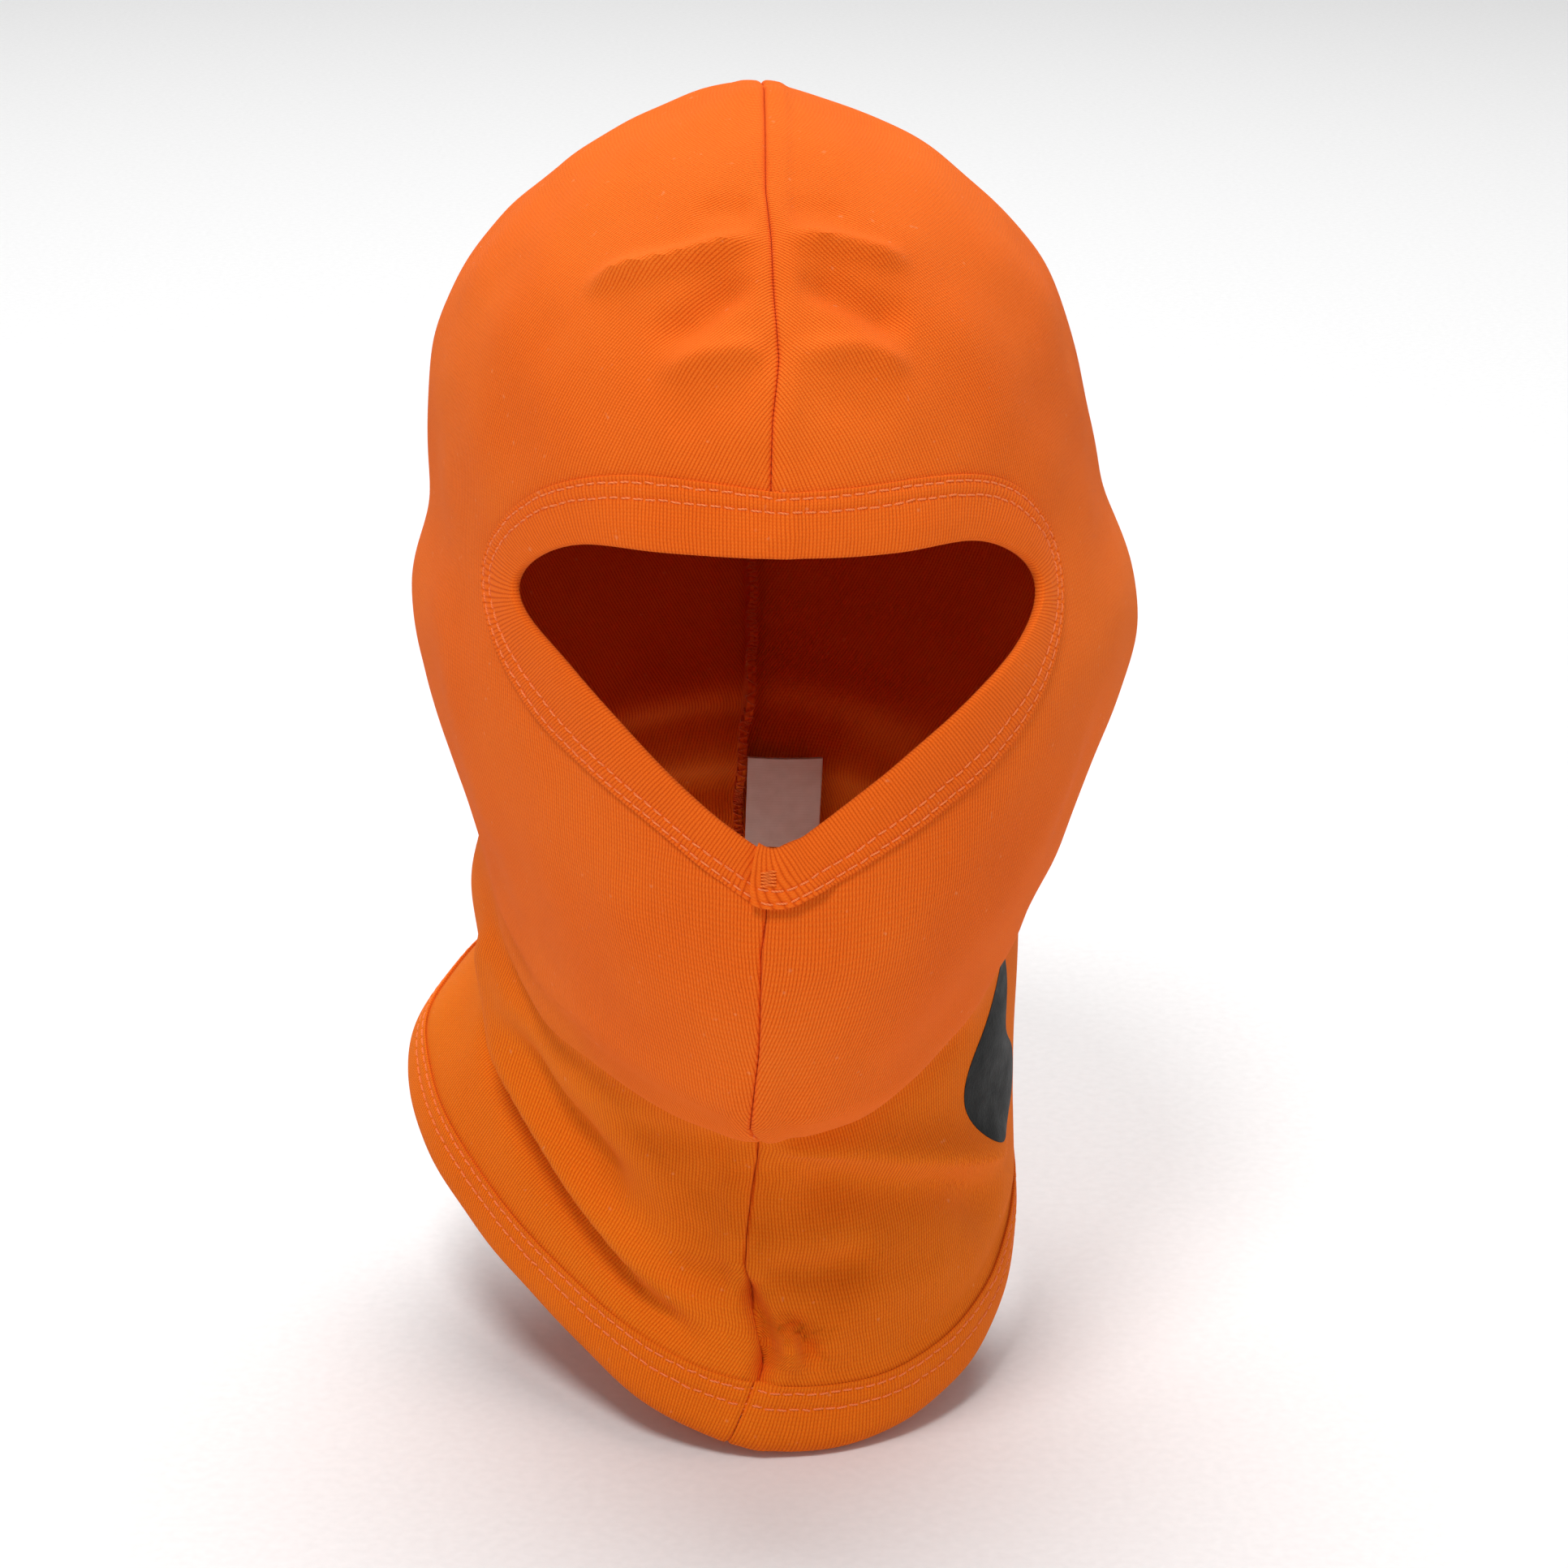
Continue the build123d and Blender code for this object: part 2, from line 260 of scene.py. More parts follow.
# Neck, wearer's right: one long roll from behind the jaw down to the hem, hollows on both its sides
fold(6.0, 7, 4, (-88, -96), (-67, -107), (-50, -115), (-34, -122), (-21, -128), (-9, -136))
fold(-4.9, 7, 5, (-70, -91), (-52, -101), (-36, -108), (-24, -113))
fold(-5.2, 3.2, 5, (-92, -112), (-70, -118), (-47, -125), (-25, -131.5), (-6, -138), taper=0.15)
fold(-1.8, 5, 5, (-33, -94), (-20, -88), (-8, -85), (0, -86))
fold(1.5, 8, 8, (-40, -100), (-22, -101), (-12, -104))
fold(-3.4, 3.2, 5, (-20, -121), (-12, -123), (-7, -121), (-3, -119))
fold(-1.4, 5, 4, (-16, -115), (-6, -113))
fold(2.6, 5, 5, (-74, -70), (-80, -88), (-72, -100), (-58, -108))

# Neck, at the seam: the cloth pinched into two short creases above the hem
fold(-6.2, 2.4, 2.6, (-1.5, -119), (0.5, -126), (4, -132), (2.5, -139), (0, -142), taper=0.2)
fold(4.4, 2.6, 2.2, (4, -129), (7.5, -133.5), (6.5, -140), taper=0.25)
fold(-4.6, 2.4, 2.0, (4, -126.5), (10, -131), (11.5, -138), taper=0.3)
fold(2.1, 5, 6, (11, -126), (15, -133), (15, -139))
fold(-1.5, 3, 6, (3, -88), (2.5, -100), (2, -112), taper=0.25)
fold(1.4, 4, 3, (-5, -92), (-4, -104), (-3, -116), taper=0.25)

# Neck, wearer's left: a shelf under the jaw, a flat sunk field below it
fold(4.3, 7, 2.4, (2, -83), (12, -86), (23, -91), (40, -100), (76, -124), taper=0.15)
fold(-4.0, 3, 9, (5, -92), (23, -99), (42, -108), (70, -130), taper=0.2)
fold(-3.5, 5, 5, (1, -117), (12, -118), (26, -116), taper=0.3)
fold(1.5, 6, 5, (14, -126), (30, -126), (48, -128))
fold(-1.8, 3, 4, (22, -138), (42, -138), (66, -139), (90, -140), taper=0.2)

# Jaw and chin: the cloth turns under sharply and hangs hollow below
fold(1.7, 8, 3, (-76, -50), (-54, -59), (-40, -59), (-27, -57), (-17, -55), (-8, -55), (0, -57), taper=0.15)
fold(-4.2, 3.5, 7, (-84, -64), (-62, -76), (-44, -79), (-29, -77), (-15, -74), (-4, -74), taper=0.2)
fold(1.3, 8, 3, (1, -57), (8, -57), (19, -59), (31, -58), (43, -54), (58, -48), taper=0.15)
fold(-3.6, 3.5, 6, (3, -74), (16, -76), (32, -74), (52, -70), taper=0.2)
fold(-1.2, 7, 7, (5, -27), (9, -40))
fold(1.0, 4, 4, (-3.5, -44), (-3, -56), (-3.5, -68))
fold(-1.0, 3, 3, (3, -46), (3.5, -58), (4, -70))
fold(1.2, 9, 9, (-64, 20), (-60, -10), (-52, -36))
fold(-1.0, 8, 8, (66, 12), (60, -14), (50, -34))

# Brow: short folds that leave the seam on both sides like the ribs of a leaf
fold(-1.3, 5, 4, (-1, 138), (-10, 139), (-20, 137))
fold(3.9, 2.4, 3.2, (0, 130), (-9, 127), (-19.5, 122.3), (-31, 117.8), (-37.5, 112))
fold(-4.2, 4.5, 5.5, (-3, 120), (-9, 114), (-13, 107), (-22, 100))
fold(2.9, 3, 3.4, (0, 98.5), (-5, 99.5), (-11, 97.5), (-18, 91))
fold(-1.0, 5, 5, (-2, 90), (-9, 87), (-16, 80))
fold(-1.1, 4, 5, (2, 138), (12, 139), (22, 137))
fold(3.3, 3.2, 2.4, (2, 130.5), (16, 128), (31.5, 121.5))
fold(-3.8, 5.5, 4.5, (4, 120), (12, 115), (19, 109), (26, 104))
fold(2.7, 3.2, 3, (2, 98.5), (14.5, 100.5), (24, 94))
fold(-0.9, 5, 5, (3, 89), (12, 87), (20, 82))

# Nape and sides: slack cloth settles into soft level folds
for turn, drop, depth in ((0, 0, -2.6), (6, 13, 2.2), (-8, 27, -2.3), (10, 44, 1.8), (-4, 60, -1.6)):
    fold(
        depth, 7, 5,
        (128 + turn, -62 - drop), (152 + turn, -52 - drop), (178 + turn, -50 - drop),
        (204 + turn, -53 - drop), (232 + turn, -62 - drop),
    )
fold(-1.7, 6, 6, (100, -72), (120, -84), (140, -104))
fold(1.5, 6, 6, (-104, -76), (-122, -88), (-140, -108))
fold(-1.2, 9, 9, (98, 30), (118, 10), (132, -18))
fold(-1.2, 9, 9, (-98, 30), (-118, 12), (-134, -16))

# The whole cloth is a little uneven
for _ in range(14):
    wave = unit(rng.normal(size=3)) * 2 * pi / rng.uniform(17 * MM, 50 * MM)
    relief += 0.11 * MM * np.sin(base @ wave + rng.uniform(0, 2 * pi))


# ==== centre seam
# Where the seam strays from the middle of the front, from the hem up: level and offset to +X
SEAM_STRAYS = (
    (-159, -2.1), (-146, 0.6), (-137, 4), (-128, 1), (-117, -2), (-90, 0.8), (-64, 0.9), (-60, -2.4),
    (-42, -1.1), (-24, -1.1), (-18, 0), (68, -0.1), (83, 0.4), (98, 2.2), (118, 0.9), (130, 0.4),
    (145, -1.6), (160, -1.5),
)
SEAM_ALLOWANCE = 6 * MM
ROLL = 1.5 * MM  # radius of the cloth's turn into the seam
PLY = 1.0 * MM


def seam_stray(level):
    return np.interp(level, *(np.array(SEAM_STRAYS).T * MM))


def seam_angle(level, back=False):
    """Angle of the seam at a level, in front or at the back."""
    if back:
        waver = 1.3 * MM * np.sin(level / (19 * MM)) * smoothstep(POLE_LEVEL, POLE_LEVEL - 40 * MM, level)
        return pi + waver / (90 * MM)
    fan = np.clip((level - FAN_LEVEL) / FAN_RADIUS, 0, pi / 2)
    y = sample(base, level, 0 * level)[..., 1]
    return np.arctan2(seam_stray(level), np.maximum(SPINE_Y - y, 12 * MM)) * np.cos(fan)


# The turned-in edges lie towards +X under the panel, and lift it a little
in_front = base[..., 1] < SPINE_Y
fan = np.clip((levels - FAN_LEVEL) / FAN_RADIUS, 0, pi / 2)
from_seam = base[..., 0] - np.where(in_front, (seam_stray(levels) * np.cos(fan))[:, None], 0)
lift = (0.5 + 0.2 * np.tanh(from_seam / (1.2 * MM))) * MM
relief += lift * smoothstep(SEAM_ALLOWANCE + 1.5 * MM, SEAM_ALLOWANCE - 1.5 * MM, np.abs(from_seam))
# Along the seam the thread draws the cloth in by turns
relief -= 0.22 * MM * (1 + np.sin(base[..., 2] / (1.9 * MM))) * np.exp(-((from_seam / (2.4 * MM)) ** 2))

relief = blurred(relief, 1.0, 1.0) * (1 - 0.5 * stiff)
surface = base + base_normals * relief[..., None]
normals = normals_of(surface)
normals[-4:] = unit(normals[-5].mean(axis=0))


def worn(level, angle):
    """Points of the worn surface and its outward unit normals there."""
    return sample(surface, level, angle), unit(sample(normals, level, angle))


# ==== mesh helpers
def in_scene(name, data):
    """New object of some data, linked into the scene."""
    thing = bpy.data.objects.new(name, data)
    scene.collection.objects.link(thing)
    return thing


def make_piece(name, points, faces, material, uv=None):
    """Smooth-shaded mesh object; uv has one row per point, in millimetres of cloth."""
    mesh = bpy.data.meshes.new(name)
    mesh.from_pydata(np.reshape(points, (-1, 3)).tolist(), [], faces)
    if uv is not None:
        corners = np.empty(len(mesh.loops), np.int32)
        mesh.loops.foreach_get("vertex_index", corners)
        layer = mesh.uv_layers.new(name="cloth")
        layer.data.foreach_set("uv", np.reshape(uv, (-1, 2))[corners].astype(np.float32).ravel())
    mesh.validate()
    mesh.shade_smooth()
    mesh.set_sharp_from_angle(angle=radians(50))
    mesh.materials.append(material)
    return in_scene(name, mesh)


def ring_faces(count, around, closed, first=0):
    """Faces that join count rings of around points each; an open run gets a cap at each end."""
    faces = []
    for i in range(count if closed else count - 1):
        a, b = first + i * around, first + (i + 1) % count * around
        for j in range(around):
            k = (j + 1) % around
            faces.append((a + j, b + j, b + k, a + k))
    if not closed:
        faces.append(tuple(first + j for j in range(around)))
        faces.append(tuple(first + (count - 1) * around + j for j in reversed(range(around))))
    return faces


def threads(name, paths, radius, material, sides=6):
    """Round threads along paths of equally many points; each thread thins at its two tips."""
    paths = np.asarray(paths)
    along = unit(np.gradient(paths, axis=1))
    across = unit(np.cross(along, np.roll(along, 1, axis=2) + [0.31, -0.17, 0.23]))
    for i in range(1, paths.shape[1]):  # carry the frame along so that the tube doesn't twist
        kept = across[:, i - 1]
        across[:, i] = unit(kept - (kept * along[:, i]).sum(axis=1, keepdims=True) * along[:, i])
    other = np.cross(along, across)
    size = np.full(paths.shape[1], radius)
    size[[0, -1]] *= 0.45
    turns = np.arange(sides) * 2 * pi / sides
    ring = across[..., None, :] * np.cos(turns)[:, None] + other[..., None, :] * np.sin(turns)[:, None]
    points = paths[..., None, :] + ring * size[None, :, None, None]
    faces = []
    for n in range(len(paths)):
        faces += ring_faces(paths.shape[1], sides, False, first=n * paths.shape[1] * sides)
    return make_piece(name, points, faces, material)


# ==== outlines of the face band
BAND_CENTRE = np.array([4, 15]) * MM  # X and Z of a point inside the face opening
TURNS = 720


def surface_tree(rows, columns):
    """BVH tree of a part of the worn surface, with each face's row and column in the grid."""
    points = surface[rows[:, None], columns[None, :] % ANGLES].reshape(-1, 3)
    wide = len(columns)
    faces, cells = [], []
    for i in range(len(rows) - 1):
        for j in range(wide - 1):
            a = i * wide + j
            faces.append((a, a + 1, a + 1 + wide, a + wide))
            cells.append((rows[i], columns[j]))
    return BVHTree.FromPolygons(points.tolist(), faces), cells


front_rows = np.arange(np.searchsorted(levels, -90 * MM), np.searchsorted(levels, 120 * MM))
front_faces, front_cells = surface_tree(front_rows, np.arange(-220, 221))


def on_surface(x, z):
    """Level and angle of the place where the surface is met, looking back along +Y."""
    hit, normal, face, gone = front_faces.ray_cast(Vector((x, -REACH, z)), Vector((0, 1, 0)))
    row, column = front_cells[face]
    corner = surface[row, column % ANGLES]
    up = surface[row + 1, column % ANGLES] - corner
    across = surface[row, (column + 1) % ANGLES] - corner
    shares = np.linalg.lstsq(np.stack([up, across], axis=1), np.array(hit) - corner, rcond=None)[0]
    return levels[row] + shares[0] * LEVEL_STEP, (column + shares[1]) * 2 * pi / ANGLES


def boundary(covered, clear, solid):
    """Distance at which a shape begins, between a clear distance and a covered one."""
    for _ in range(6):
        middle = (clear + solid) / 2
        clear, solid = (clear, middle) if covered(middle) else (middle, solid)
    return (clear + solid) / 2


def band_edges():
    """Distances of the face band's folded edge and outer edge from its centre, turn by turn."""
    tree, _ = tree_of_nodes("face_band")

    def covered(turn, distance):
        x, z = BAND_CENTRE + distance * np.array([sin(turn), cos(turn)])
        return tree.ray_cast(Vector((x, -REACH, z)), Vector((0, 1, 0)), REACH)[0] is not None

    step = 1.5 * MM
    found = []
    for turn in np.arange(TURNS) * 2 * pi / TURNS:
        here = partial(covered, turn)
        inside = [d for d in np.arange(20 * MM, 110 * MM, step) if here(d)]
        edges = (inside[0] - step, inside[0]), (inside[-1] + step, inside[-1])
        found.append([boundary(here, clear, solid) for clear, solid in edges])
    return np.array(found).T


def around(values, turn):
    """Value at any turn of a list kept turn by turn."""
    return np.interp(np.mod(turn, 2 * pi), np.arange(TURNS) * 2 * pi / TURNS, values, period=2 * pi)


folded_edge, outer_edge = band_edges()


def band_share(points):
    """How far across the face band points lie: 0 at its folded edge, 1 at its outer edge."""
    x, z = points[..., 0] - BAND_CENTRE[0], points[..., 2] - BAND_CENTRE[1]
    turn = np.arctan2(x, z)
    near, far = around(folded_edge, turn), around(outer_edge, turn)
    share = (np.hypot(x, z) - near) / (far - near)
    return np.where(points[..., 1] < -25 * MM, share, 9.0)


# ==== panels
ROW_STEP = 1.8 * MM
MID_COLUMNS = 150
PANEL_EDGE = 0.52  # the panels' raw edges lie this far across the bands
ALLOWANCE_EDGE = 1.03  # the turned-in seam edges stop here
# Distance of the finer columns from the seam, and depths of the points down the turned-in edge
SEAM_COLUMNS = np.array([0, 0.15, 0.32, 0.5, 0.72, 1.0, 1.4, 1.9, 2.6, 3.5, 4.7]) * MM
EDGE_DEPTHS = np.array([7.0, 5.9, 4.8, 3.7, 2.7, 1.8]) * MM
EDGE_GAP = 0.04 * MM  # half the gap between the two panels' edges


def dome_flat(direction, side):
    """Flat place of a spot on the crown, spread out evenly round the point over the ear."""
    spread = np.arccos(np.clip(direction[..., 0] * side, -1, 1)) * FAN_RADIUS
    turn = np.arctan2(np.maximum(direction[..., 2], 0), -direction[..., 1])
    return spread * np.cos(turn), spread * np.sin(turn)


def panel_row(level, side):
    """One level of a panel: its columns' angles and places, its length, their shrink and flat places."""
    start, stop = seam_angle(level), seam_angle(level, back=True)
    if side < 0:
        stop -= 2 * pi
    dense = np.linspace(start, stop, 500)
    spots = sample(surface, level, dense)
    run = lengths(spots)
    length = max(run[-1], 1e-6)
    shrink = min(1, length / (2.4 * SEAM_COLUMNS[-1]))
    fine = SEAM_COLUMNS * shrink
    middle = np.linspace(fine[-1], length - fine[-1], MID_COLUMNS + 2)[1:-1]
    places = np.concatenate([fine, middle, length - fine[::-1]])
    turn = np.interp(places, run, dense)
    run_of_side = np.interp(side * pi / 2, dense[::side], run[::side])
    _, direction = rays(np.full(len(turn), max(level, FAN_LEVEL)), turn)
    dome_u, dome_v = dome_flat(direction, side)
    blend = smoothstep(-10 * MM, FAN_LEVEL, level)
    flat_u = (run_of_side - places) * (1 - blend) + dome_u * blend
    flat_v = level + dome_v if level < FAN_LEVEL else FAN_LEVEL + dome_v
    return turn, places, length, shrink, np.stack([flat_u, flat_v + 0 * flat_u], axis=-1)


def panel_points(level, side):
    """Outer and inner points of one level of a panel, with their flat places."""
    turn, places, length, shrink, flat = panel_row(level, side)
    spots, outward = worn(level, turn)
    gap = np.minimum(places, length - places) / max(shrink, 1e-3)
    roll = ROLL - np.sqrt(np.maximum(ROLL**2 - np.maximum(ROLL - gap, 0) ** 2, 0))
    outer = spots - outward * (roll * shrink)[:, None]
    inward = PLY * np.exp(-gap / (0.8 * MM)) * shrink
    middle_way = unit(np.gradient(spots, axis=0)) * np.where(places < length / 2, 1, -1)[:, None]
    depth = PLY + 0.9 * MM * np.exp(-gap / (0.5 * MM)) * shrink
    inner = spots + middle_way * inward[:, None] - outward * depth[:, None]

    def turned_edge(end, order):
        """Both faces and flat places of the edge that turns in at one end of the row."""
        face = spots[end] + middle_way[end] * EDGE_GAP * shrink - outward[end] * EDGE_DEPTHS[:, None]
        back = face + middle_way[end] * (PLY - EDGE_GAP) * shrink
        spread = flat[end] + np.stack([order * EDGE_DEPTHS, 0 * EDGE_DEPTHS], axis=-1)
        return face[::order], back[::order], spread[::order]

    columns = zip(turned_edge(0, 1), (outer, inner, flat), turned_edge(-1, -1))
    return [np.concatenate(parts) for parts in columns]


def panel(name, side, material):
    """One side panel, from the hem band to the crown and from the front seam to the back one."""
    row_levels = np.linspace(HEM_LEVEL + 5 * MM, POLE_LEVEL, int((POLE_LEVEL - HEM_LEVEL) / ROW_STEP))
    outer, inner, flat = (np.array(part) for part in zip(*(panel_points(l, side) for l in row_levels)))
    rows, columns = outer.shape[:2]
    middles = (outer[:-1, :-1] + outer[1:, 1:]) / 2
    middle_levels = ((row_levels[:-1] + row_levels[1:]) / 2)[:, None]
    share = band_share(middles)
    stop = np.full(columns - 1, PANEL_EDGE)
    stop[: len(EDGE_DEPTHS)] = stop[-len(EDGE_DEPTHS) :] = ALLOWANCE_EDGE
    kept = (share > stop) & (middle_levels > HEM_LEVEL + stop * HEM_WIDTH)
    index = np.arange(rows * columns).reshape(rows, columns)
    back = index + rows * columns
    faces = []
    for i, j in zip(*np.nonzero(kept)):
        ring = [(i, j), (i, j + 1), (i + 1, j + 1), (i + 1, j)]
        faces.append([index[p] for p in ring])
        faces.append([back[p] for p in reversed(ring)])
        for (a, b), (di, dj) in zip(zip(ring, ring[1:] + ring[:1]), ((-1, 0), (0, 1), (1, 0), (0, -1))):
            ni, nj = i + di, j + dj
            if not (0 <= ni < rows - 1 and 0 <= nj < columns - 1 and kept[ni, nj]):
                faces.append([index[b], index[a], back[a], back[b]])
    faces = [face[::side] for face in faces]
    used = np.unique(np.concatenate([np.ravel(face) for face in faces]))
    number = np.zeros(2 * rows * columns, int)
    number[used] = np.arange(len(used))
    points = np.concatenate([outer.reshape(-1, 3), inner.reshape(-1, 3)])[used]
    uv = np.concatenate([flat.reshape(-1, 2)] * 2)[used] / MM
    piece = make_piece(name, points, [number[face].tolist() for face in faces], material, uv)
    weld(piece)
    return piece


def weld(piece):
    """Joins points that fall together, as they do where a panel's rows close at the crown."""
    shape = bmesh.new()
    shape.from_mesh(piece.data)
    bmesh.ops.remove_doubles(shape, verts=shape.verts, dist=0.004 * MM)
    shape.to_mesh(piece.data)
    shape.free()


# ==== bands
STATION = 0.8 * MM
INNER_ROW, OUTER_ROW = 0.69, 0.90  # the two lines of stitches, as shares of a band's width
UNDER_END = 1.5 * MM  # the face band's under end runs on this far past the V
UPPER_END = 4 * MM  # and its upper end this far the other way, over it
LAP_LEAN = 2.6 * MM  # the upper end is cut upright, so its outer corner stops this much sooner
LAP_RISE = 1.4 * MM
LAP_SINK = 0.35 * MM
FOLDED_BOTTOM, OUTER_BOTTOM = -15.4 * MM, -28 * MM  # heights where its two edges run level at the lap
FLATTEN = 0.7 * MM
FACE_WIDTH = 15 * MM
TIP = 0.07  # share of the width taken by the turn at the folded edge
PITCH = 3.2 * MM  # from one stitch to the next
THREAD = 0.26 * MM


def edge_points(distances, turn, bottom):
    """X and Z of an edge of the face band at some turns; below the nose it flattens at a height."""
    points = BAND_CENTRE + np.stack([np.sin(turn), np.cos(turn)], -1) * around(distances, turn)[:, None]
    points[:, 1] = bottom + FLATTEN * np.logaddexp(0, (points[:, 1] - bottom) / FLATTEN)
    return points


def face_edges():
    """The face band's two edges on the surface, from the V round by the wearer's right and the brow.

    Gives the run along the folded edge, and the level and angle of both edges there.
    """
    lowest = np.argmin(folded_edge * np.cos(np.arange(TURNS) * 2 * pi / TURNS))
    turn = 2 * pi * (lowest / TURNS + np.linspace(0, 1, 2 * TURNS + 1))
    near = edge_points(folded_edge, turn, FOLDED_BOTTOM)
    tangent = unit(np.stack([evened(part, 8) for part in np.gradient(near, axis=0).T], -1))
    across = turn.copy()
    for _ in range(60):
        far = edge_points(outer_edge, across, OUTER_BOTTOM)
        across -= 0.5 * ((far - near) * tangent).sum(axis=1) / around(outer_edge, across)
    skew = evened((across - turn)[:-1], 10)
    across = turn + np.append(skew, skew[0])
    far = edge_points(outer_edge, across, OUTER_BOTTOM)
    near_places, far_places = (np.array([on_surface(*spot) for spot in edge]) for edge in (near, far))
    return lengths(sample(surface, *near_places.T)), near_places, far_places


face_run, face_near, face_far = face_edges()
FACE_RUN = face_run[-1]


def face_place(run, share):
    """Level and angle of a place on the face band: run along its folded edge, share across it."""
    run, share = np.broadcast_arrays(run, share)
    lean = LAP_LEAN * share * smoothstep(FACE_RUN - 14 * MM, FACE_RUN + UPPER_END, run)
    run = np.mod(run - lean, FACE_RUN)
    near, far = ([np.interp(run, face_run, part) for part in edge.T] for edge in (face_near, face_far))
    return [a * (1 - share) + b * share for a, b in zip(near, far)]


hem_turns = np.linspace(0, 2 * pi, 1441)
hem_run = lengths(sample(surface, HEM_LEVEL + HEM_WIDTH / 2, hem_turns))
HEM_RUN = hem_run[-1]
HEM_RADIUS = 72 * MM  # of the hem's curve at the front
HEM_SLANT = 6 * MM  # the meeting ends lean this far towards +X over the band's width


def hem_place(run, share):
    """Level and angle of a place on the hem band, from the front seam round towards +X."""
    run, share = np.broadcast_arrays(run, share)
    from_join = np.minimum(np.mod(run, HEM_RUN), HEM_RUN - np.mod(run, HEM_RUN))
    lean = HEM_SLANT * (share - 0.85) * np.exp(-((from_join / (25 * MM)) ** 2))
    turn = np.interp(np.clip(run, 0, HEM_RUN), hem_run, hem_turns) + lean / HEM_RADIUS
    return [HEM_LEVEL + HEM_WIDTH * share, turn]


def face_lift(run):
    """How far the face band's upper end rises over its under end, which is pressed flat there."""
    sunk = LAP_SINK * smoothstep(13 * MM, 5 * MM, run)
    return LAP_RISE * smoothstep(FACE_RUN - 9 * MM, FACE_RUN - 2.5 * MM, run) - sunk


def hem_lift(run):
    """The hem band's ends turn in where they meet."""
    gap = np.clip(np.minimum(run, HEM_RUN - run), 0, 1.1 * MM)
    return np.sqrt(1.1**2 * MM**2 - (1.1 * MM - gap) ** 2) - 1.1 * MM


def outer_height(share):
    """Height of a band's face over the panels: it swells between the stitch lines and dips at them."""
    groove = sum(np.exp(-(((share - row) / 0.035) ** 2)) for row in (INNER_ROW, OUTER_ROW))
    middle = np.exp(-(((share - (INNER_ROW + OUTER_ROW) / 2) / 0.07) ** 2))
    belly = np.exp(-(((share - 0.32) / 0.2) ** 2))
    lip = smoothstep(0.985, 1.0, share)
    return (0.9 - 0.3 * groove + 0.1 * middle + 0.25 * belly - 0.25 * lip) * MM


def band_section():
    """Closed outline of a folded band: shares across it, heights over the panels, and the flat run."""
    face = np.concatenate([np.linspace(1, 0.5, 30), np.linspace(0.48, TIP, 12)])
    bend = np.linspace(pi / 2, -pi / 2, 11)[1:-1]
    top, bottom = outer_height(TIP), -1.95 * MM
    tip_share = TIP * (1 - np.cos(bend))
    tip_height = (top + bottom) / 2 + (top - bottom) / 2 * np.sin(bend)
    lining = np.linspace(TIP, 1, 14)
    slot = [(1, -1.05), (0.6, -1.05), (0.5, -0.95), (0.42, -0.57), (0.14, -0.55), (0.12, -0.5)]
    slot += [(0.14, -0.45), (0.42, -0.43), (0.5, -0.05), (0.6, 0.03), (0.99, 0.03)]
    share = np.concatenate([face, tip_share, lining, [s for s, _ in slot]])
    height = np.concatenate([outer_height(face), tip_height, bottom + 0 * lining, [h * MM for _, h in slot]])
    return share, height, lengths(np.stack([share * HEM_WIDTH, height], axis=-1))


def on_band(place, run, share, height):
    """Points over or under a band at a height over the panels' outer surface."""
    spots, outward = worn(*place(run, share))
    return spots + outward * np.asarray(height)[..., None]


def band(name, place, lift, start, stop, material):
    share, height, flat = band_section()
    runs = np.linspace(start, stop, int((stop - start) / STATION))
    rise = lift(runs)[:, None]
    raised = np.maximum(rise, 0) * np.where(height > -0.5 * MM, 1, -1)[None, :]
    raised += np.minimum(rise, 0) * (height > 0.1 * MM)[None, :]
    wrapped = share[None, :] - np.maximum(rise, 0) / FACE_WIDTH * np.clip(1 - share / 0.3, 0, 1)[None, :]
    points = on_band(place, runs[:, None], wrapped, height[None, :] + raised)
    uv = np.stack(np.broadcast_arrays(runs[:, None], flat[None, :]), axis=-1) / MM
    faces = ring_faces(len(runs), len(share), False)
    return make_piece(name, points, faces, material, uv)


def measured(place, share, start, stop):
    """Runs between start and stop, with the true length along one line of a band up to each."""
    runs = np.arange(start, stop, 0.4 * MM)
    return runs, lengths(on_band(place, runs, share, 0 * runs))


def stitch_row(name, place, lift, share, start, stop, material):
    """Stitches laid one after another along a band; each dips into the cloth at both its ends."""
    runs, true = measured(place, share, start, stop)
    count = int(true[-1] / PITCH)
    middles = (np.arange(count) + 0.5) * true[-1] / count
    q = np.linspace(-1, 1, 9)
    half = 1.38 * MM * (1 + 0.06 * rng.normal(size=count))
    at = np.interp(middles[:, None] + half[:, None] * q, true, runs)
    wander = 0.006 * rng.normal(size=(count, 1)) + 0.005 * rng.normal(size=(count, 1)) * q
    height = outer_height(share) + (0.14 - 0.42 * np.abs(q) ** 5) * MM
    return threads(name, on_band(place, at, share + wander, height + lift(at)), THREAD, material)


def looper(name, place, lift, start, stop, material):
    """Thread that crosses to and fro between the two stitch lines inside a band."""
    runs, true = measured(place, (INNER_ROW + OUTER_ROW) / 2, start, stop)
    count = int(true[-1] / PITCH)
    phase = np.linspace(0, 2 * pi * count, 16 * count)
    at = np.interp(phase / (2 * pi) * true[-1] / count + 0.5 * MM * np.sin(2 * phase), true, runs)
    swing = np.clip(1.25 * np.sin(phase), -1, 1) * (OUTER_ROW - INNER_ROW + 0.03) / 2
    height = -2.12 * MM - np.maximum(lift(at), 0)
    path = on_band(place, at, (INNER_ROW + OUTER_ROW) / 2 + swing, height)
    return threads(name, path[None], 0.2 * MM, material, sides=5)


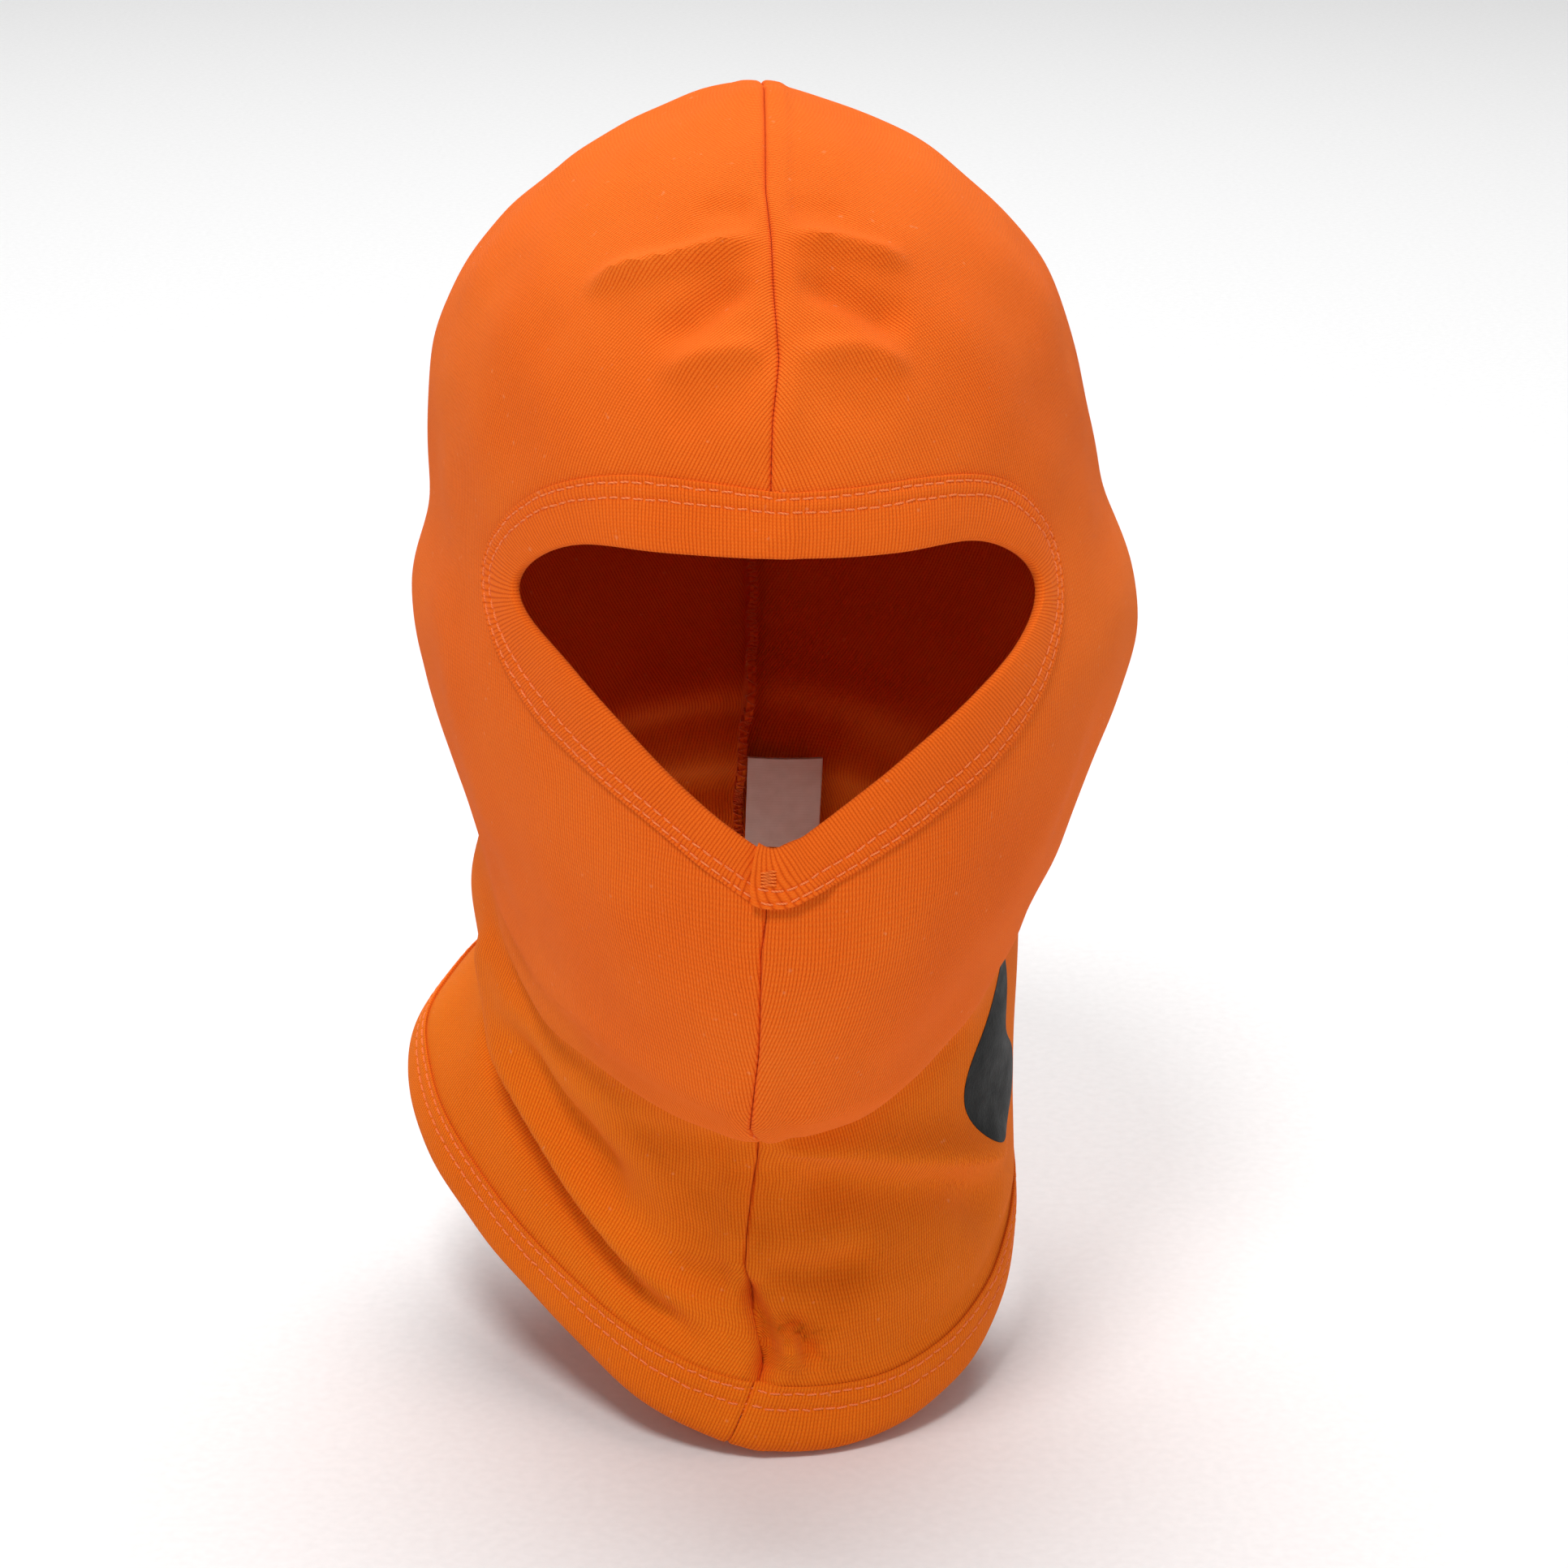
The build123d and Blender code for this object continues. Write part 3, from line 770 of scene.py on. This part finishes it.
# ==== seam threads
def seam_thread(name, level, turn, material):
    """Overlock thread that wraps the turned-in edges along a run of the centre seam."""
    spine = sample(surface, level, turn)
    true = lengths(spine)
    count = int(true[-1] / (2.4 * MM))
    phase = np.linspace(0, 2 * pi * count, 18 * count)
    at = phase / (2 * pi) * true[-1] / count + 0.25 * MM * np.sin(phase * 2)
    middle = np.stack([np.interp(at, true, part) for part in spine.T], axis=-1)
    outward = unit(np.stack([np.interp(at, true, part) for part in sample(normals, level, turn).T], axis=-1))
    along = unit(np.gradient(middle, axis=0))
    sideways = unit(np.cross(along, outward))
    beside = 1.18 * MM  # the thread runs this far to either side of the seam
    swing = np.sin(phase) * 4.3 * MM  # how far round the edge, from its middle
    x = np.clip(swing, -beside, beside)
    depth = EDGE_DEPTHS[0] + 0.3 * MM - np.maximum(np.abs(swing) - beside, 0)
    path = middle + sideways * x[:, None] - outward * depth[:, None]
    return threads(name, path[None], 0.2 * MM, material, sides=5)


def lock_stitches(name, material):
    """Small stitches down the hem band's meeting ends, sunk between them."""
    rows = np.linspace(0.12, 0.92, 12)
    q = np.linspace(-1, 1, 7)
    at = 0.85 * MM * q[None, :] + 0 * rows[:, None]
    level, turn = hem_place(0 * at, rows[:, None] + 0.02 * q[None, :])
    spots, outward = worn(level, turn + at / HEM_RADIUS)
    height = (0.05 - 0.75 * q**2) * MM
    return threads(name, spots + outward * height[None, :, None], 0.2 * MM, material)


def bar_tack(name, material):
    """Close zigzag of thread across the lap below the V."""
    low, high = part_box("face_band_tack")
    count = 5
    phase = np.linspace(0, 2 * pi * count, 14 * count)
    x = (low[0] + high[0]) / 2 + (high[0] - low[0]) / 2 * np.clip(1.2 * np.sin(phase), -1, 1)
    z = np.interp(phase, [0, phase[-1]], [high[2], low[2]])
    spots, outward = worn(*np.array([on_surface(a, b) for a, b in zip(x, z)]).T)
    height = outer_height(0.35) + LAP_RISE + 0.16 * MM
    return threads(name, (spots + outward * height)[None], 0.15 * MM, material)


# ==== label and print
def label_strip(name, material):
    """Satin ribbon folded double, as long as the CAD's label and open at its sewn edge."""
    swing = frame["joints"][0]
    hinge, down = np.array(swing["pos_m"]), unit(np.array(swing["axis"]))
    across = np.array([1.0, 0, 0])
    facing = np.cross(down, across)
    low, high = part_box("care_label")
    width = high[0]
    length = (low[2] - hinge[2]) / down[2]
    gap, ply, turn = 0.3 * MM, 0.22 * MM, np.linspace(pi / 2, -pi / 2, 9)

    def layer(half):
        """Across and out, from the sewn edge round the fold and back, half a gap off the middle."""
        reach = np.linspace(low[0] + 0.1 * MM, width - 0.6 * MM, 16)
        bend = np.stack([reach[-1] + np.cos(turn) * half, np.sin(turn) * half], -1)
        there = np.stack([reach, half + 0 * reach], -1)
        back = np.stack([reach[::-1], -half + 0 * reach], -1)
        return np.concatenate([there[:-1], bend, back[1:]])

    section = np.concatenate([layer(gap / 2 + ply), layer(gap / 2)[::-1]])
    stations = np.linspace(0.1 * MM, length - 0.1 * MM, 40)
    wave = 0.35 * MM * np.sin(stations / (5.2 * MM))[:, None] * (section[:, 0] / width)[None, :] ** 2
    bow = 0.5 * MM * np.sin(pi * section[:, 0] / width)[None, :]
    out = section[None, :, 1] + wave + bow
    points = hinge + down * stations[:, None, None] + across * section[None, :, :1] + facing * out[..., None]
    uv = np.stack(np.broadcast_arrays(lengths(section)[None, :], stations[:, None]), -1) / MM
    faces = ring_faces(len(stations), len(section), False)
    return make_piece(name, points, faces, material, uv), (2 * width, length)


def print_film(name, material):
    """Ink film laid on the wearer's left of the neck, with the outline of the CAD's mark."""
    mark, _ = tree_of_nodes("neck_mark")
    low, high = (np.array(corner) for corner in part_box("neck_mark"))
    centre = np.array([(low[1] + high[1]) / 2, low[2] + 0.38 * (high[2] - low[2])])
    cloth, _ = surface_tree(np.arange(len(levels) // 2), np.arange(ANGLES // 12, ANGLES // 2))

    def seen(tree, turn, distance):
        y, z = centre + distance * np.array([sin(turn), cos(turn)])
        return tree.ray_cast(Vector((REACH, y, z)), Vector((-1, 0, 0)))

    def inked(turn, distance):
        return seen(mark, turn, distance)[0] is not None

    step = 0.5 * MM
    turns = np.arange(300) * 2 * pi / 300
    reach = []
    for turn in turns:
        here = partial(inked, turn)
        solid = next(d for d in np.arange(58 * MM, 0, -step) if here(d))
        reach.append(boundary(here, solid + step, solid))
    rings = np.linspace(1, 0.02, 30)
    top, bottom = [], []
    for share in rings:
        for turn, distance in zip(turns, reach):
            hit, outward = seen(cloth, turn, distance * share)[:2]
            out = outward if outward.x > 0 else -outward
            top.append(hit + out * 0.14 * MM)
            bottom.append(hit + out * 0.02 * MM)
    count = len(turns)
    faces = ring_faces(len(rings), count, False)[:-2]
    faces.append(tuple((len(rings) - 1) * count + j for j in range(count)))
    first = len(top)
    faces += [tuple(first + k for k in reversed(face)) for face in faces]
    faces += [((j + 1) % count, j, first + j, first + (j + 1) % count) for j in range(count)]
    return make_piece(name, top + bottom, faces, material)


# ==== materials
class Shader:
    """Small builder for a principled material's nodes."""

    def __init__(self, name, **sockets):
        self.material = bpy.data.materials.new(name)
        self.material.use_nodes = True
        self.tree = self.material.node_tree
        self.main = self.tree.nodes["Principled BSDF"]
        for socket, value in sockets.items():
            self.main.inputs[socket.replace("_", " ")].default_value = value

    def node(self, kind, **values):
        node = self.tree.nodes.new(kind)
        for key, value in values.items():
            setattr(node, key, value)
        return node

    def put(self, socket, value):
        if isinstance(value, bpy.types.NodeSocket):
            self.tree.links.new(value, socket)
        else:
            socket.default_value = value

    def math(self, operation, *values):
        node = self.node("ShaderNodeMath", operation=operation)
        for socket, value in zip(node.inputs, values):
            self.put(socket, value)
        return node.outputs[0]

    def plus(self, a, b):
        return self.math("ADD", a, b)

    def times(self, a, b):
        return self.math("MULTIPLY", a, b)

    def place(self):
        return self.node("ShaderNodeTexCoord").outputs["Object"]

    def axes(self, vector):
        node = self.node("ShaderNodeSeparateXYZ")
        self.put(node.inputs[0], vector)
        return node.outputs

    def cloth_axes(self):
        """Place on the flat cloth, in millimetres."""
        return self.axes(self.node("ShaderNodeUVMap", uv_map="cloth").outputs["UV"])

    def texture(self, kind, sockets, **values):
        node = self.node("ShaderNodeTex" + kind, **values)
        for socket, value in sockets.items():
            node.inputs[socket].default_value = value
        self.put(node.inputs["Vector"], self.place())
        return node.outputs

    def noise(self, scale, detail=3.0):
        return self.texture("Noise", {"Scale": scale, "Detail": detail})["Fac"]

    def ramp(self, factor, *stops):
        node = self.node("ShaderNodeValToRGB")
        while len(node.color_ramp.elements) < len(stops):
            node.color_ramp.elements.new(0.5)
        for element, (place, colour) in zip(node.color_ramp.elements, stops):
            element.position = place
            element.color = (*colour, 1)
        self.put(node.inputs["Fac"], factor)
        return node.outputs["Color"]

    def mix(self, factor, a, b, blend="MIX"):
        node = self.node("ShaderNodeMix", data_type="RGBA", blend_type=blend)
        self.put(node.inputs["Factor"], factor)
        self.put(node.inputs["A"], a)
        self.put(node.inputs["B"], (*b, 1) if isinstance(b, tuple) else b)
        return node.outputs["Result"]

    def paint(self, colour):
        self.put(self.main.inputs["Base Color"], colour)

    def bump(self, height, depth, strength):
        node = self.node("ShaderNodeBump")
        node.inputs["Strength"].default_value = strength
        node.inputs["Distance"].default_value = depth
        self.put(node.inputs["Height"], height)
        self.put(self.main.inputs["Normal"], node.outputs["Normal"])


def linear(*srgb):
    return tuple((c / 255 / 12.92) if c < 11 else ((c / 255 + 0.055) / 1.055) ** 2.4 for c in srgb)


NECK_SHADE_TINT = (0.96, 1.16, 0.6)  # painted shade: the neck lies in shade below the jaw and is tinted yellower
NECK_SHADE_HEIGHTS = -48 * MM, -88 * MM  # where the painted shade tint starts and is full, below the ears
NECK_SHADE_TILT = -0.35  # that place lies lower towards the front


def knit(name, pale, body, deep_dye_and_groove_shade, wale, course):
    """Cotton knit: columns of V-shaped stitches, with nap, uneven dye, painted shade that darkens the
    grooves between the stitches, and a painted shade tint that makes the neck yellower.
    """
    s = Shader(name, Roughness=0.88, Sheen_Weight=0.18, Sheen_Roughness=0.5, Specular_IOR_Level=0.1)
    s.main.inputs["Sheen Tint"].default_value = (*linear(255, 165, 100), 1)
    flat = s.cloth_axes()
    wander = s.times(s.math("SUBTRACT", s.noise(90, 2.0), 0.5), 0.9)
    u = s.math("DIVIDE", s.plus(flat["X"], wander), wale)
    v = s.math("DIVIDE", s.plus(flat["Y"], wander), course)
    column = s.math("POWER", s.math("ABSOLUTE", s.math("SINE", s.times(u, pi))), 0.7)
    chevron = s.times(s.math("PINGPONG", u, 0.5), 1.3)
    leg = s.math("SINE", s.times(s.plus(v, chevron), 2 * pi))
    stitch = s.times(column, s.math("MULTIPLY_ADD", leg, 0.16, 0.84))
    fuzz = s.noise(2600, 4.0)
    s.bump(s.plus(stitch, s.times(fuzz, 0.7)), 0.2 * MM, 0.85)
    cloud = s.times(s.math("SUBTRACT", s.noise(16, 4.0), 0.5), 0.35)
    # painted shade: the colour follows the stitches' bump, darker in the grooves between them and lighter on
    # their tops; the cloud is uneven dye and the fuzz is random tone
    tone = s.plus(s.plus(s.times(stitch, 0.55), s.times(fuzz, 0.35)), cloud)
    colour = s.ramp(tone, (0.12, deep_dye_and_groove_shade), (0.5, body), (0.95, pale))
    place = s.axes(s.place())
    # painted shade: below the jaw, lower towards the front, the colour is multiplied by a yellower tint, as
    # the neck lies in shade
    low = s.node("ShaderNodeMapRange", interpolation_type="SMOOTHSTEP")
    down = s.math("MULTIPLY_ADD", place["Y"], NECK_SHADE_TILT, place["Z"])
    for socket, value in zip(low.inputs, (down, *NECK_SHADE_HEIGHTS, 0.0, 1.0)):
        s.put(socket, value)
    colour = s.mix(low.outputs["Result"], colour, s.mix(1.0, colour, NECK_SHADE_TINT, "MULTIPLY"))
    fleck = s.ramp(s.noise(420, 1.0), (0.74, (0, 0, 0)), (0.80, (1, 1, 1)))
    s.paint(s.mix(s.times(fleck, 0.16), colour, linear(255, 190, 140)))
    return s.material


def spun(name, colour, dark):
    """Sewing thread: plies that turn round it, hardly any lustre."""
    s = Shader(name, Roughness=0.7, Sheen_Weight=0.06, Sheen_Roughness=0.4, Specular_IOR_Level=0.2)
    turns = {"Scale": 800, "Distortion": 1.5}
    plies = s.texture("Wave", turns, wave_type="BANDS", bands_direction="DIAGONAL")["Fac"]
    shade = s.plus(s.times(plies, 0.6), s.times(s.noise(3200), 0.4))
    s.paint(s.ramp(shade, (0.15, dark), (0.75, colour)))
    s.bump(shade, 0.06 * MM, 0.7)
    return s.material


def satin(name):
    """Woven satin ribbon, with fine floats along its length."""
    s = Shader(name, Roughness=0.38, Sheen_Weight=0.35, Sheen_Roughness=0.25, Anisotropic=0.5)
    flat = s.cloth_axes()
    warp = s.math("SINE", s.times(flat["X"], 2 * pi / 0.16))
    weft = s.math("SINE", s.times(flat["Y"], 2 * pi / 0.62))
    weave = s.math("MULTIPLY_ADD", s.plus(warp, s.times(weft, 0.5)), 0.3, 0.5)
    tone = s.plus(s.times(weave, 0.5), s.times(s.noise(300), 0.5))
    s.paint(s.ramp(tone, (0.1, linear(214, 210, 200)), (0.8, linear(246, 244, 238))))
    s.bump(weave, 0.03 * MM, 0.6)
    return s.material


def ink(name):
    """Thick black ink on knit: the stitches show through it, and it has fine cracks."""
    s = Shader(name, Specular_IOR_Level=0.12)
    weave = s.texture("Voronoi", {"Scale": 1150}, feature="SMOOTH_F1")["Distance"]
    cracks = s.texture("Voronoi", {"Scale": 330}, feature="DISTANCE_TO_EDGE")["Distance"]
    wear = s.times(s.math("LESS_THAN", cracks, 0.018), s.noise(60))
    tone = s.plus(s.times(s.noise(45), 0.7), s.times(wear, 0.5))
    s.paint(s.ramp(tone, (0.3, linear(6, 9, 9)), (0.9, linear(22, 24, 23))))
    s.put(s.main.inputs["Roughness"], s.math("MULTIPLY_ADD", s.noise(240), 0.25, 0.42))
    s.bump(s.math("SUBTRACT", weave, wear), 0.1 * MM, 0.6)
    return s.material


panel_knit = knit("panel_knit", linear(255, 136, 48), linear(247, 106, 22), linear(214, 72, 4), 0.9, 0.9)
rib_knit = knit("rib_knit", linear(255, 130, 42), linear(247, 104, 20), linear(212, 72, 5), 0.9, 0.8)
stitch_thread = spun("stitch_thread", linear(255, 146, 84), linear(232, 108, 44))
looper_yarn = spun("looper_yarn", linear(250, 132, 70), linear(222, 96, 36))
tack_thread = spun("tack_thread", linear(255, 134, 52), linear(240, 106, 26))
label_satin = satin("label_satin")
black_ink = ink("black_ink")


# ==== the pieces
def finish_piece(piece, node, body="hood"):
    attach(piece, body)
    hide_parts(node)
    return piece


right = finish_piece(panel("right_panel_cloth", -1, panel_knit), "right_side_panel")
left = finish_piece(panel("left_panel_cloth", 1, panel_knit), "left_side_panel")

face_start, face_stop = -UNDER_END, FACE_RUN + UPPER_END
face = finish_piece(
    band("face_band_cloth", face_place, face_lift, face_start, face_stop, rib_knit), "face_band"
)
hem_start, hem_stop = 0.12 * MM, HEM_RUN - 0.12 * MM
hem = finish_piece(
    band("hem_band_cloth", hem_place, hem_lift, hem_start, hem_stop, rib_knit), "hem_band"
)

for part, place, lift, first, last in (
    ("face", face_place, face_lift, UPPER_END - LAP_LEAN, face_stop - 0.5 * MM),
    ("hem", hem_place, hem_lift, hem_start + 1.2 * MM, hem_stop - 1.2 * MM),
):
    for row, share in (("outer", OUTER_ROW), ("inner", INNER_ROW)):
        thread = stitch_row(f"{part}_{row}_stitches", place, lift, share, first, last, stitch_thread)
        finish_piece(thread, f"{part}_{row}_stitch_row")
    thread = looper(f"{part}_looper", place, lift, first, last, looper_yarn)
    finish_piece(thread, f"{part}_looper_thread")

brow_level = face_far[len(face_far) // 2][0] + 2 * MM
front_levels = np.arange(brow_level, POLE_LEVEL, 1 * MM)
back_levels = np.arange(POLE_LEVEL, HEM_LEVEL + 18 * MM, -1 * MM)
crown_levels = np.concatenate([front_levels, back_levels])
crown_turns = np.concatenate([seam_angle(front_levels), seam_angle(back_levels, back=True)])
throat_levels = np.arange(face_far[0][0] - 2.5 * MM, HEM_LEVEL + 18 * MM, -1 * MM)
crown = seam_thread("crown_overlock", crown_levels, crown_turns, looper_yarn)
throat = seam_thread("throat_overlock", throat_levels, seam_angle(throat_levels), looper_yarn)
finish_piece(crown, "crown_seam_overlock")
finish_piece(throat, "throat_seam_overlock")
finish_piece(bar_tack("lap_bar_tack", tack_thread), "face_band_tack")
closing = lock_stitches("hem_closing_stitches", stitch_thread)
finish_piece(closing, "hem_band_closing_seam")

label, label_flat = label_strip("folded_care_label", label_satin)
finish_piece(label, "care_label", body="label")
finish_piece(print_film("flame_print", black_ink), "neck_mark")


# ==== stage, lights and camera
bpy.ops.mesh.primitive_plane_add(size=14, location=(0, 0, cad_bounds[0][2] - 0.5 * MM))
floor = bpy.context.object
floor.name = "studio_floor"
paper = Shader("floor_paper", Roughness=0.9)
paper.paint(paper.ramp(paper.noise(350, 4.0), (0.2, (0.86, 0.86, 0.86)), (0.8, (0.92, 0.92, 0.92))))
floor.data.materials.append(paper.material)


def soft_light(name, place, size, watts):
    lamp = bpy.data.lights.new(name, "AREA")
    lamp.shape, lamp.size, lamp.energy = "DISK", size, watts
    holder = in_scene(name, lamp)
    holder.location = place
    holder.rotation_euler = (Vector((0, 0, -0.03)) - Vector(place)).to_track_quat("-Z", "Y").to_euler()


soft_light("key_softbox", (-0.35, -0.9, 1.5), 0.5, 14.5)
soft_light("fill_softbox", (1.3, -1.2, 0.3), 1.0, 1.8)
soft_light("top_softbox", (0, 1.2, 2.5), 2.6, 68)
world = bpy.data.worlds.new("studio")
scene.world = world
world.use_nodes = True
sky = world.node_tree.nodes["Background"].inputs
sky["Color"].default_value, sky["Strength"].default_value = (1, 1, 1, 1), 0.3

CAMERA_TARGET = Vector((8.5, 0, -36)) * MM
CAMERA_DISTANCE = 1200 * MM
CAMERA_TURNS = (-2.4, "Z"), (90 - 19, "X"), (1.2, "Z")  # degrees: azimuth, 90 less elevation, roll
lens = bpy.data.cameras.new("photo_view")
lens.sensor_width = 36
lens.lens = 105.1
camera = in_scene("photo_view", lens)
camera.matrix_world = Matrix.Translation(CAMERA_TARGET)
for degrees, axis in CAMERA_TURNS:
    camera.matrix_world @= Matrix.Rotation(radians(degrees), 4, axis)
camera.matrix_world @= Matrix.Translation((0, 0, CAMERA_DISTANCE))
scene.camera = camera
scene.view_settings.view_transform = "Standard"


bpy.context.view_layer.update()
